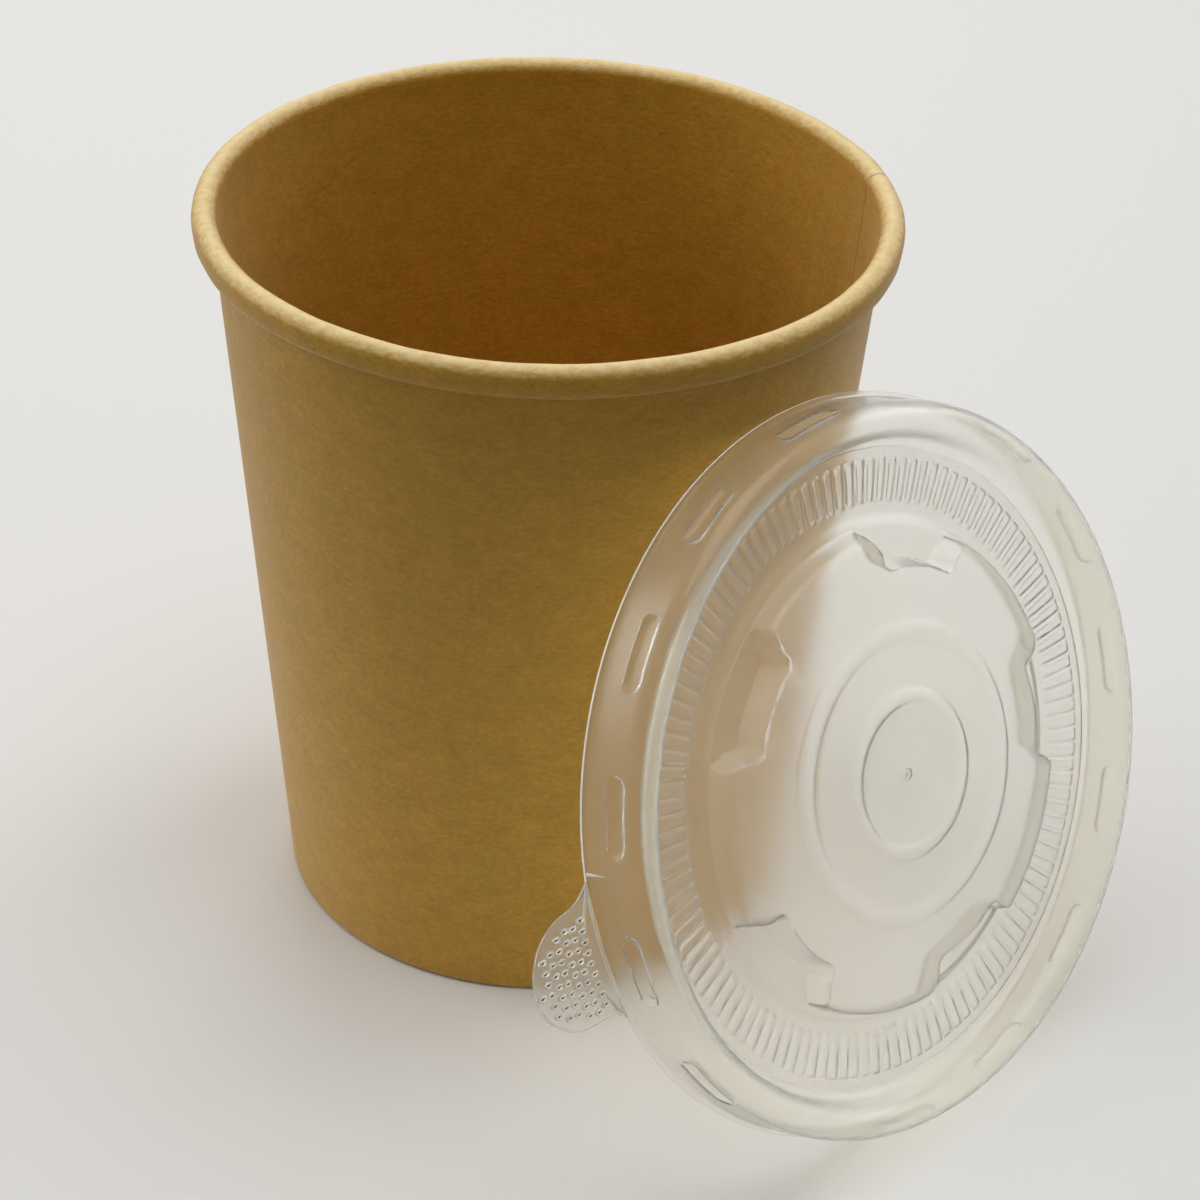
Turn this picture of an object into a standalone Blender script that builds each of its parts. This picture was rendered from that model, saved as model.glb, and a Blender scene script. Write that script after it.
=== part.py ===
"""Takeaway soup cup of kraft paper with its plastic lid leaning against it, built in metres, +Z up."""

import math

import bmesh
import bpy
from mathutils import Vector

MM = 0.001

# Where the cup's axis stands in the shared frame, whose origin is under the middle of the whole object.
CUP_AXIS_X = -22.19
CUP_AXIS_Y = 25.73

# Cup, in millimetres.
CUP_HEIGHT = 130.7
WALL_BASE_RADIUS = 44.8
WALL_TOP_RADIUS = 55.05
WALL_THICKNESS = 0.6
RIM_RADIUS = 58.5
RIM_HEIGHT = 5.5
HEM_HEIGHT = 7.6
HEM_THICKNESS = 0.5
BASE_LEVEL = 8.6
BASE_THICKNESS = 0.6
SKIRT_THICKNESS = 0.45
CLEARANCE = 0.35

# Lid, in millimetres, in its own frame: Z is its axis and the underside of its flange is Z = 0.
LID_THICKNESS = 0.45
FLANGE_RADIUS = 60.9
SKIRT_RADIUS = 59.9
CROWN_HEIGHT = 12.0
PANEL_RADIUS = 38.8
PANEL_EDGE_HEIGHT = 10.3
FLOOR_HEIGHT = 4.7
NOTCH_FLOOR_HEIGHT = 5.9
NOTCH_INNER_RADIUS = 34.4
NOTCH_COUNT = 5
NOTCH_HALF_ANGLE = 15.0
LUG_COUNT = 15
LUG_DEPTH = 0.5
TAB_REACH = 75.0
TAB_HALF_WIDTH = 9.6
TAB_ANGLE = 184.0

# Stance of the lid: it stands on its flange and leans its upper edge on the cup's wall.
LID_YAW = -44.37
LID_LEAN = 20.16
LID_OFFSET_X = 51.71
LID_OFFSET_Y = -54.71
LID_CENTRE_HEIGHT = 57.02
LID_SPIN = 135.75

ROUND_STEPS = 60


def clear_scene():
    """Remove every object of the scene."""
    for item in list(bpy.data.objects):
        bpy.data.objects.remove(item, do_unlink=True)


def new_collection(name):
    """Add a collection to the scene and return it."""
    group = bpy.data.collections.new(name)
    bpy.context.scene.collection.children.link(group)
    return group


def new_material(name, colour, roughness):
    """Return a Principled material of one colour."""
    material = bpy.data.materials.new(name)
    material.use_nodes = True
    shader = material.node_tree.nodes["Principled BSDF"]
    shader.inputs["Base Color"].default_value = (*colour, 1.0)
    shader.inputs["Roughness"].default_value = roughness
    shader.inputs["Metallic"].default_value = 0.0
    return material


def profile_object(name, points, closed, group):
    """Make a mesh object of edges from (radius, height) points in millimetres."""
    mesh = bpy.data.meshes.new(name)
    verts = [(radius * MM, 0.0, height * MM) for radius, height in points]
    edges = [(i, i + 1) for i in range(len(points) - 1)]
    if closed:
        edges.append((len(points) - 1, 0))
    mesh.from_pydata(verts, edges, [])
    item = bpy.data.objects.new(name, mesh)
    group.objects.link(item)
    return item


def add_screw(item, steps):
    """Turn the profile of an object about its Z axis."""
    turn = item.modifiers.new("Turn", "SCREW")
    turn.angle = math.tau
    turn.steps = steps
    turn.render_steps = steps
    turn.axis = "Z"
    turn.use_merge_vertices = True
    turn.merge_threshold = 0.00005
    turn.use_normal_calculate = True
    return turn


def finish(item, material):
    """Give an object its material and smooth its round faces."""
    item.data.materials.clear()
    item.data.materials.append(material)


def wall_radius(height):
    """Outer radius of the tapered wall at a height, in millimetres."""
    top = CUP_HEIGHT - RIM_HEIGHT
    return WALL_BASE_RADIUS + (WALL_TOP_RADIUS - WALL_BASE_RADIUS) * height / top


def rim_arc():
    """Points of the rolled rim from the inner side over the crest to the lower lip."""
    points = []
    inner = WALL_TOP_RADIUS - WALL_THICKNESS
    half_width = (RIM_RADIUS - inner) / 2.0
    centre = inner + half_width
    crest = CUP_HEIGHT - half_width
    for step in range(7):
        angle = math.pi * (1.0 - step / 6.0)
        points.append((centre + half_width * math.cos(angle), crest + half_width * math.sin(angle)))
    lip = CUP_HEIGHT - RIM_HEIGHT
    points.append((RIM_RADIUS - 0.15, lip + 1.3))
    points.append((RIM_RADIUS - 0.9, lip + 0.35))
    points.append((RIM_RADIUS - 2.0, lip + 0.1))
    return points


def build_wall(group, material):
    """Sidewall of the cup with its rolled rim and the hem folded up under the base."""
    rim = rim_arc()
    lip = CUP_HEIGHT - RIM_HEIGHT
    groove = WALL_THICKNESS + 2.0 * CLEARANCE + SKIRT_THICKNESS
    outer_base = wall_radius(0.0)
    points = list(rim)
    points.append((wall_radius(lip) + 0.05, lip + 0.6))
    points.append((wall_radius(lip - 2.0), lip - 2.0))
    points.append((wall_radius(60.0), 60.0))
    points.append((outer_base, 0.0))
    points.append((outer_base - groove - HEM_THICKNESS, 0.0))
    points.append((wall_radius(HEM_HEIGHT) - groove - HEM_THICKNESS, HEM_HEIGHT))
    points.append((wall_radius(HEM_HEIGHT) - groove, HEM_HEIGHT))
    points.append((outer_base - groove + 0.05, 0.6))
    points.append((outer_base - WALL_THICKNESS + 0.05, 0.6))
    points.append((wall_radius(60.0) - WALL_THICKNESS, 60.0))
    item = profile_object("cup_wall", points, True, group)
    item.location = (CUP_AXIS_X * MM, CUP_AXIS_Y * MM, 0.0)
    add_screw(item, ROUND_STEPS)
    finish(item, material)
    return item


def build_base(group, material):
    """Recessed base disc of the cup with its skirt turned down into the hem."""
    top = BASE_LEVEL + BASE_THICKNESS
    outer_top = wall_radius(top) - WALL_THICKNESS - CLEARANCE
    outer_low = wall_radius(1.0) - WALL_THICKNESS - CLEARANCE
    points = [
        (0.0, top),
        (outer_top - 0.5, top),
        (outer_top, top - 0.4),
        (outer_low, 1.0),
        (outer_low - SKIRT_THICKNESS, 1.0),
        (outer_top - SKIRT_THICKNESS - 0.05, BASE_LEVEL),
        (0.0, BASE_LEVEL),
    ]
    item = profile_object("cup_base", points, False, group)
    item.location = (CUP_AXIS_X * MM, CUP_AXIS_Y * MM, 0.0)
    add_screw(item, ROUND_STEPS)
    finish(item, material)
    return item


def lid_profile():
    """Outer side of the lid from the middle of its panel to the edge of its flange."""
    return [
        (0.0, 11.1),
        (7.0, 11.6),
        (11.0, 12.4),
        (11.7, 13.1),
        (13.7, 13.0),
        (14.4, 12.35),
        (21.4, 12.0),
        (22.1, 12.5),
        (24.4, 12.2),
        (25.1, 11.6),
        (33.4, 10.95),
        (NOTCH_INNER_RADIUS, 10.85),
        (37.4, PANEL_EDGE_HEIGHT + 0.2),
        (PANEL_RADIUS, 9.7),
        (39.2, 8.4),
        (39.7, NOTCH_FLOOR_HEIGHT),
        (40.9, FLOOR_HEIGHT + 0.05),
        (43.3, FLOOR_HEIGHT),
        (50.3, FLOOR_HEIGHT + 0.6),
        (52.8, FLOOR_HEIGHT + 0.7),
        (53.6, 8.4),
        (54.9, 10.7),
        (57.0, CROWN_HEIGHT),
        (58.7, 11.4),
        (59.6, 9.8),
        (SKIRT_RADIUS - 0.1, 7.8),
        (SKIRT_RADIUS, 5.2),
        (SKIRT_RADIUS + 0.15, 0.95),
        (FLANGE_RADIUS, 0.5),
    ]


def degrees_apart(angle, centre):
    """Smallest distance between two directions, in degrees."""
    return abs((angle - centre + 180.0) % 360.0 - 180.0)


def press_notches(mesh, step):
    """Lower the edge of the panel into its notches and push in the snap lugs of the skirt."""
    notch_centres = [step / 2.0 + 360.0 / NOTCH_COUNT * i for i in range(NOTCH_COUNT)]
    lug_centres = [step / 2.0 + 360.0 / LUG_COUNT * i for i in range(LUG_COUNT)]
    for vertex in mesh.vertices:
        radius = math.hypot(vertex.co.x, vertex.co.y) / MM
        height = vertex.co.z / MM
        angle = math.degrees(math.atan2(vertex.co.y, vertex.co.x))
        in_notch = min(degrees_apart(angle, centre) for centre in notch_centres) < NOTCH_HALF_ANGLE + 1.0
        if in_notch and NOTCH_INNER_RADIUS - 0.2 < radius < 39.5 and height > NOTCH_FLOOR_HEIGHT:
            vertex.co.z = NOTCH_FLOOR_HEIGHT * MM
        in_lug = min(degrees_apart(angle, centre) for centre in lug_centres) < step / 2.0 + 0.5
        if in_lug and radius > 59.0 and 5.0 < height < 8.0:
            scale = (radius - LUG_DEPTH) / radius
            vertex.co.x *= scale
            vertex.co.y *= scale


def tab_outline():
    """Outline of the pull tab about the lid's axis, in millimetres, before it is turned into place."""
    points = []
    inner = FLANGE_RADIUS - 1.2
    centre = TAB_REACH - TAB_HALF_WIDTH
    points.append((inner, TAB_HALF_WIDTH + 1.6))
    points.append((FLANGE_RADIUS + 0.6, TAB_HALF_WIDTH + 0.9))
    points.append((FLANGE_RADIUS + 2.0, TAB_HALF_WIDTH))
    for step in range(1, 12):
        angle = math.pi / 2.0 - math.pi * step / 12.0
        points.append((centre + TAB_HALF_WIDTH * math.cos(angle), TAB_HALF_WIDTH * math.sin(angle)))
    points.append((FLANGE_RADIUS + 2.0, -TAB_HALF_WIDTH))
    points.append((FLANGE_RADIUS + 0.6, -TAB_HALF_WIDTH - 0.9))
    points.append((inner, -TAB_HALF_WIDTH - 1.6))
    return points


def build_tab(group, parent):
    """Flat solid of the pull tab, joined to the lid's flange."""
    mesh = bpy.data.meshes.new("tab_blank")
    form = bmesh.new()
    low = [form.verts.new(Vector((x, y, 0.06)) * MM) for x, y in tab_outline()]
    face = form.faces.new(low)
    face.normal_update()
    lifted = bmesh.ops.extrude_face_region(form, geom=[face])
    raised = [part for part in lifted["geom"] if isinstance(part, bmesh.types.BMVert)]
    bmesh.ops.translate(form, verts=raised, vec=(0.0, 0.0, 0.36 * MM))
    bmesh.ops.recalc_face_normals(form, faces=form.faces)
    form.to_mesh(mesh)
    form.free()
    item = bpy.data.objects.new("tab_blank", mesh)
    group.objects.link(item)
    item.parent = parent
    item.rotation_euler = (0.0, 0.0, math.radians(TAB_ANGLE))
    item.hide_render = True
    item.display_type = "WIRE"
    return item


def build_lid(group, cutters, material):
    """Snap lid: a thin turned shell with pressed notches and lugs, and its pull tab."""
    stance = bpy.data.objects.new("lid_stance", None)
    group.objects.link(stance)
    stance.location = (
        (CUP_AXIS_X + LID_OFFSET_X) * MM,
        (CUP_AXIS_Y + LID_OFFSET_Y) * MM,
        LID_CENTRE_HEIGHT * MM,
    )
    stance.rotation_euler = (math.radians(90.0 - LID_LEAN), 0.0, math.radians(LID_YAW + 90.0))

    blank = profile_object("lid_blank", lid_profile(), False, cutters)
    add_screw(blank, ROUND_STEPS)
    bpy.context.view_layer.update()
    turned = blank.evaluated_get(bpy.context.evaluated_depsgraph_get())
    mesh = bpy.data.meshes.new_from_object(turned)
    bpy.data.objects.remove(blank, do_unlink=True)
    mesh.name = "lid"
    press_notches(mesh, 360.0 / ROUND_STEPS)

    item = bpy.data.objects.new("lid", mesh)
    group.objects.link(item)
    item.parent = stance
    item.rotation_euler = (0.0, 0.0, math.radians(LID_SPIN))
    wall = item.modifiers.new("Wall", "SOLIDIFY")
    wall.thickness = LID_THICKNESS * MM
    wall.offset = -1.0
    wall.use_even_offset = True
    join = item.modifiers.new("Tab", "BOOLEAN")
    join.operation = "UNION"
    join.solver = "EXACT"
    join.object = build_tab(cutters, stance)
    finish(item, material)
    return item


def smooth_round_faces(items):
    """Shade the round pieces smooth, with their edges kept sharp."""
    for item in items:
        mesh = item.data
        mesh.shade_smooth()
        mesh.set_sharp_from_angle(angle=math.radians(35.0))


def main():
    """Build the cup and its lid."""
    clear_scene()
    group = new_collection("takeaway soup cup")
    cutters = new_collection("blanks")
    kraft = new_material("kraft paper", (0.27, 0.16, 0.05), 0.7)
    lining = new_material("coated kraft paper", (0.25, 0.13, 0.02), 0.5)
    plastic = new_material("milky plastic", (0.75, 0.72, 0.66), 0.35)
    wall = build_wall(group, kraft)
    base = build_base(group, lining)
    lid = build_lid(group, cutters, plastic)
    smooth_round_faces([wall, base, lid])


main()
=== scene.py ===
"""Looks of a takeaway soup cup of kraft paper, with its milky snap lid leaning against it.

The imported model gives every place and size. Each sub-assembly is a class that models its own pieces, in
millimetres about its own axis, and dresses them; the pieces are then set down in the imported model's frame.
"""

from __future__ import annotations

import logging
import math
from collections.abc import Callable, Iterable, Sequence
from dataclasses import dataclass, field
from enum import Enum

import bmesh
import bpy
import numpy as np
from mathutils import Matrix, Vector


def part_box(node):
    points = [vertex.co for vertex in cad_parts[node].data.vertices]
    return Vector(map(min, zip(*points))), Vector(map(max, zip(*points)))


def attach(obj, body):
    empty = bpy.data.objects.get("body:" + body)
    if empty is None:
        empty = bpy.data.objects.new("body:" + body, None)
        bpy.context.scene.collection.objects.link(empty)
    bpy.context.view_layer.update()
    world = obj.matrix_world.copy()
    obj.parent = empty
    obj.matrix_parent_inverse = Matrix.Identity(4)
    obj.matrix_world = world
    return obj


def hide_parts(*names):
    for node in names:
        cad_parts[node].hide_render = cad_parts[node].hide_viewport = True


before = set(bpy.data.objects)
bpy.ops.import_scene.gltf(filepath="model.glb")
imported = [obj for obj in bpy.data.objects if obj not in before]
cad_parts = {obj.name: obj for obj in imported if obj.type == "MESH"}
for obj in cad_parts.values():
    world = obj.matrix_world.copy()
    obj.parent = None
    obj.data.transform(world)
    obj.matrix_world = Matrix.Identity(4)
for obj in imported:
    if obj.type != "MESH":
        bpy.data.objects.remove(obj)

LOG = logging.getLogger("soup_cup")

MM = 0.001

Ring = tuple[float, float]
Colour = tuple[float, float, float]


class Side(Enum):
    """Which face of the paper a patch of the wall belongs to."""

    OUTSIDE = 0
    INSIDE = 1


class Part(Enum):
    """The parts of a mesh that can be selected."""

    VERTEX = "VERT"
    EDGE = "EDGE"
    FACE = "FACE"


class Fill(Enum):
    """How a turned piece ends."""

    OPEN = "open"
    POLE = "pole"
    LOOP = "loop"


# --------------------------------------------------------------------------------------------------------------
# Modelling by hand
# --------------------------------------------------------------------------------------------------------------


def clear_selection() -> None:
    """Leave edit mode and deselect every object."""
    if bpy.context.object is not None and bpy.context.object.mode != "OBJECT":
        bpy.ops.object.mode_set(mode="OBJECT")
    bpy.ops.object.select_all(action="DESELECT")


def make_active(piece: bpy.types.Object) -> None:
    """Select one object alone and make it the active one.

    Args:
        piece: The object to work on.
    """
    clear_selection()
    piece.select_set(True)
    bpy.context.view_layer.objects.active = piece


def pick(piece: bpy.types.Object, kind: Part, test: Callable[[object], bool]) -> None:
    """In edit mode, select the vertices, edges or faces that pass a test, and nothing else.

    Args:
        piece: The object in edit mode.
        kind: Which parts of the mesh are tested.
        test: True for each part to select.
    """
    bpy.ops.mesh.select_mode(type=kind.value)
    bpy.ops.mesh.select_all(action="DESELECT")
    form = bmesh.from_edit_mesh(piece.data)
    parts = {Part.VERTEX: form.verts, Part.EDGE: form.edges, Part.FACE: form.faces}[kind]
    for part in parts:
        if test(part):
            part.select_set(True)
    form.select_flush_mode()
    bmesh.update_edit_mesh(piece.data)


def apply_modifiers(piece: bpy.types.Object) -> None:
    """Apply every modifier of a piece, in order.

    Args:
        piece: The object whose modifiers are applied.
    """
    make_active(piece)
    for modifier in list(piece.modifiers):
        bpy.ops.object.modifier_apply(modifier=modifier.name)


def turn_rings(name: str, rings: Sequence[Ring], segments: int, end: Fill) -> bpy.types.Object:
    """Draw a turned piece up as rings: a circle that is extruded and resized ring by ring.

    Args:
        name: Name of the new object.
        rings: Radius and height of each ring, in millimetres.
        segments: Vertices around each ring.
        end: How the last ring closes: left open, drawn to the pole, or joined to the first ring.

    Returns:
        The new object, in metres about the Z axis.
    """
    clear_selection()
    radius, height = rings[0]
    bpy.ops.mesh.primitive_circle_add(
        vertices=segments, radius=radius * MM, fill_type="NOTHING", location=(0.0, 0.0, height * MM)
    )
    piece = bpy.context.object
    piece.name = name
    piece.data.name = name
    bpy.ops.object.transform_apply(location=True, rotation=False, scale=False)
    bpy.ops.object.mode_set(mode="EDIT")
    bpy.ops.mesh.select_mode(type=Part.VERTEX.value)
    bpy.ops.mesh.select_all(action="SELECT")
    steps = list(rings[1:])
    if end is Fill.LOOP:
        steps.append(rings[0])
    for next_radius, next_height in steps:
        bpy.ops.mesh.extrude_region_move(TRANSFORM_OT_translate={"value": (0.0, 0.0, (next_height - height) * MM)})
        grow = next_radius / radius
        bpy.ops.transform.resize(value=(grow, grow, 1.0), center_override=(0.0, 0.0, next_height * MM))
        radius, height = next_radius, next_height
    if end is Fill.POLE:
        bpy.ops.mesh.extrude_region_move()
        bpy.ops.mesh.merge(type="CENTER")
    bpy.ops.mesh.select_all(action="SELECT")
    bpy.ops.mesh.remove_doubles(threshold=0.000001)
    bpy.ops.mesh.normals_make_consistent(inside=False)
    bpy.ops.object.mode_set(mode="OBJECT")
    return piece


def move_vertices(piece: bpy.types.Object, shape: Callable[[np.ndarray], np.ndarray]) -> None:
    """Press relief into a mesh by moving its vertices.

    Args:
        piece: The object to shape.
        shape: Takes the vertices' places in millimetres, one row each, and returns their new places.
    """
    mesh = piece.data
    flat = np.empty(len(mesh.vertices) * 3)
    mesh.vertices.foreach_get("co", flat)
    places = shape(flat.reshape(-1, 3) / MM)
    mesh.vertices.foreach_set("co", (places * MM).ravel())
    mesh.update()


def join_copies(name: str, pattern: bpy.types.Object, placings: Iterable[Matrix]) -> bpy.types.Object:
    """Copy one piece to many places, each with its own mesh, and join the copies.

    Args:
        name: Name of the joined object.
        pattern: The piece that is copied; it is removed at the end.
        placings: One transform in metres for each copy.

    Returns:
        The joined object.
    """
    clear_selection()
    copies = []
    for placing in placings:
        mesh = pattern.data.copy()
        mesh.transform(placing)
        copy = bpy.data.objects.new(name, mesh)
        bpy.context.scene.collection.objects.link(copy)
        copy.select_set(True)
        copies.append(copy)
    bpy.context.view_layer.objects.active = copies[0]
    bpy.ops.object.join()
    joined = bpy.context.object
    joined.name = name
    joined.data.name = name
    bpy.data.objects.remove(pattern, do_unlink=True)
    return joined


def smooth(piece: bpy.types.Object, degrees: float) -> None:
    """Shade a piece smooth up to an angle.

    Args:
        piece: The object to shade.
        degrees: Edges sharper than this stay sharp.
    """
    make_active(piece)
    bpy.ops.object.shade_smooth_by_angle(angle=math.radians(degrees))


def soft_step(value: np.ndarray, low: float, high: float) -> np.ndarray:
    """Rise smoothly from 0 at low to 1 at high.

    Args:
        value: The numbers to read.
        low: Where the rise starts.
        high: Where it ends; it may be the lower number.

    Returns:
        Numbers from 0 to 1.
    """
    share = np.clip((value - low) / (high - low), 0.0, 1.0)
    return share * share * (3.0 - 2.0 * share)


def turn_between(angle: np.ndarray, centre: float) -> np.ndarray:
    """Signed turn in degrees from a direction to each angle, between -180 and 180."""
    return (angle - centre + 180.0) % 360.0 - 180.0


# --------------------------------------------------------------------------------------------------------------
# Finishes
# --------------------------------------------------------------------------------------------------------------


def new_group(name: str, inputs: dict[str, float | Colour], outputs: dict[str, str]) -> bpy.types.ShaderNodeTree:
    """Start a shader node group with named sockets.

    Args:
        name: Name of the group.
        inputs: Socket name to default; a number makes a value socket and a triple a colour socket.
        outputs: Socket name to socket type.

    Returns:
        The group, with its Group Input and Group Output nodes placed.
    """
    group = bpy.data.node_groups.new(name, "ShaderNodeTree")
    for socket, default in inputs.items():
        if isinstance(default, tuple):
            made = group.interface.new_socket(socket, in_out="INPUT", socket_type="NodeSocketColor")
            made.default_value = (*default, 1.0)
        else:
            made = group.interface.new_socket(socket, in_out="INPUT", socket_type="NodeSocketFloat")
            made.default_value = default
    for socket, kind in outputs.items():
        group.interface.new_socket(socket, in_out="OUTPUT", socket_type=kind)
    group.nodes.new("NodeGroupInput").location = (-1200, 0)
    group.nodes.new("NodeGroupOutput").location = (900, 0)
    return group


@dataclass
class Wiring:
    """A node tree that is being wired, with short calls for the nodes used most."""

    tree: bpy.types.NodeTree

    def node(self, kind: str, **settings: object) -> bpy.types.Node:
        """Add a node and set its properties.

        Args:
            kind: Node type, such as ShaderNodeTexNoise.
            settings: Property values of the node.

        Returns:
            The node.
        """
        made = self.tree.nodes.new(kind)
        for key, value in settings.items():
            setattr(made, key, value)
        return made

    def feed(self, socket: bpy.types.NodeSocket, source: object) -> None:
        """Link a socket to another, or set its value.

        Args:
            socket: The input socket.
            source: An output socket, a number or a colour.
        """
        if isinstance(source, bpy.types.NodeSocket):
            self.tree.links.new(source, socket)
        elif isinstance(source, tuple) and len(source) == 3 and socket.type == "RGBA":
            socket.default_value = (*source, 1.0)
        else:
            socket.default_value = source

    def math(self, operation: str, first: object, second: object = 0.0, third: object = 0.0) -> bpy.types.NodeSocket:
        """Add a Math node and return its output socket.

        Args:
            operation: The node's operation.
            first: Source of its first input.
            second: Source of its second input.
            third: Source of its third input.

        Returns:
            The value socket.
        """
        made = self.node("ShaderNodeMath", operation=operation)
        for socket, source in zip(made.inputs, (first, second, third)):
            self.feed(socket, source)
        return made.outputs[0]

    def mix(self, share: object, first: object, second: object, blend: str = "MIX") -> bpy.types.NodeSocket:
        """Add a colour Mix node and return its output socket.

        Args:
            share: Source of the factor.
            first: Source of colour A.
            second: Source of colour B.
            blend: Blend type.

        Returns:
            The colour socket.
        """
        made = self.node("ShaderNodeMix", data_type="RGBA", blend_type=blend)
        self.feed(made.inputs[0], share)
        self.feed(made.inputs[6], first)
        self.feed(made.inputs[7], second)
        return made.outputs[2]

    def noise(self, place: object, scale: float, detail: float, roughness: float = 0.5) -> bpy.types.NodeSocket:
        """Add a noise texture and return its value socket.

        Args:
            place: Source of the texture's vector.
            scale: Scale of the texture.
            detail: Octaves of detail.
            roughness: Weight of the finer octaves.

        Returns:
            The value socket.
        """
        made = self.node("ShaderNodeTexNoise")
        made.inputs["Scale"].default_value = scale
        made.inputs["Detail"].default_value = detail
        made.inputs["Roughness"].default_value = roughness
        self.feed(made.inputs["Vector"], place)
        return made.outputs["Fac"]

    def ramp(self, value: object, low: float, high: float) -> bpy.types.NodeSocket:
        """Stretch a value so that low becomes 0 and high becomes 1, smoothly and clamped.

        Args:
            value: Source of the value.
            low: The value that becomes 0.
            high: The value that becomes 1.

        Returns:
            The value socket.
        """
        made = self.node("ShaderNodeMapRange", interpolation_type="SMOOTHSTEP")
        self.feed(made.inputs["Value"], value)
        self.feed(made.inputs["From Min"], low)
        self.feed(made.inputs["From Max"], high)
        return made.outputs["Result"]

    def placed(self, vector: object, scale: Sequence[float], location: Sequence[float] = (0.0, 0.0, 0.0)) -> object:
        """Add a Mapping node and return its vector socket.

        Args:
            vector: Source of the vector.
            scale: Scale along X, Y and Z.
            location: Shift along X, Y and Z.

        Returns:
            The vector socket.
        """
        made = self.node("ShaderNodeMapping")
        made.inputs["Scale"].default_value = scale
        made.inputs["Location"].default_value = location
        self.feed(made.inputs["Vector"], vector)
        return made.outputs["Vector"]


@dataclass(frozen=True)
class PaperFibres:
    """Shader group of unbleached paper: clouded pulp, short fibres and dark and light flecks."""

    name: str = "paper fibres"

    def group(self) -> bpy.types.ShaderNodeTree:
        """Return the group, built on the first call."""
        made = bpy.data.node_groups.get(self.name)
        if made is not None:
            return made
        made = new_group(
            self.name,
            {
                "Light Pulp": (0.4, 0.26, 0.09),
                "Dark Pulp": (0.3, 0.18, 0.05),
                "Olive Pulp": (0.3, 0.22, 0.06),
                "Fleck": (0.08, 0.04, 0.01),
                "Cloud Amount": 1.0,
            },
            {"Color": "NodeSocketColor", "Height": "NodeSocketFloat", "Fibre": "NodeSocketFloat"},
        )
        wire = Wiring(made)
        given = made.nodes["Group Input"].outputs
        place = wire.node("ShaderNodeTexCoord").outputs["Object"]
        lying = wire.placed(place, (1.0, 1.0, 1.3))
        cloud = wire.ramp(wire.noise(lying, 190.0, 4.0, 0.66), 0.3, 0.7)
        fine = wire.ramp(wire.noise(wire.placed(place, (1.0, 1.0, 2.6)), 620.0, 3.0, 0.7), 0.3, 0.7)
        grain = wire.noise(place, 2600.0, 2.0, 0.6)
        olive = wire.ramp(wire.noise(wire.placed(place, (1.0, 1.0, 1.2), (3.1, 1.7, 0.4)), 105.0, 5.0, 0.7), 0.42, 0.7)
        clouds = wire.math("ADD", wire.math("MULTIPLY", cloud, 0.5), wire.math("MULTIPLY", fine, 0.5))
        blend = wire.math("MULTIPLY", clouds, given["Cloud Amount"])
        pulp = wire.mix(blend, given["Dark Pulp"], given["Light Pulp"])
        pulp = wire.mix(wire.math("MULTIPLY", olive, 0.5), pulp, given["Olive Pulp"])
        fibres = wire.node("ShaderNodeTexVoronoi", feature="F1", distance="EUCLIDEAN")
        fibres.inputs["Scale"].default_value = 240.0
        wire.feed(fibres.inputs["Vector"], wire.placed(place, (1.0, 1.0, 3.4), (0.7, 0.2, 0.9)))
        thread = wire.ramp(fibres.outputs["Distance"], 0.16, 0.02)
        lone = wire.ramp(wire.noise(place, 130.0, 1.0), 0.60, 0.66)
        fleck = wire.math("MULTIPLY", thread, lone)
        speck = wire.ramp(wire.noise(wire.placed(place, (1.0, 1.0, 1.5), (5.3, 2.2, 7.1)), 950.0, 2.0, 0.6), 0.28, 0.72)
        grain_tone = wire.math("MULTIPLY_ADD", grain, 0.12, 0.86)
        tone = wire.math("ADD", wire.math("MULTIPLY", speck, 0.16), grain_tone)
        shaded = wire.mix(1.0, pulp, tone, "MULTIPLY")
        shaded = wire.mix(wire.math("MULTIPLY", fleck, 0.6), shaded, given["Fleck"])
        height = wire.math("ADD", wire.math("MULTIPLY", fine, 0.6), wire.math("MULTIPLY", grain, 0.5))
        taken = made.nodes["Group Output"].inputs
        wire.feed(taken["Color"], shaded)
        wire.feed(taken["Height"], height)
        wire.feed(taken["Fibre"], fine)
        return made


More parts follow.
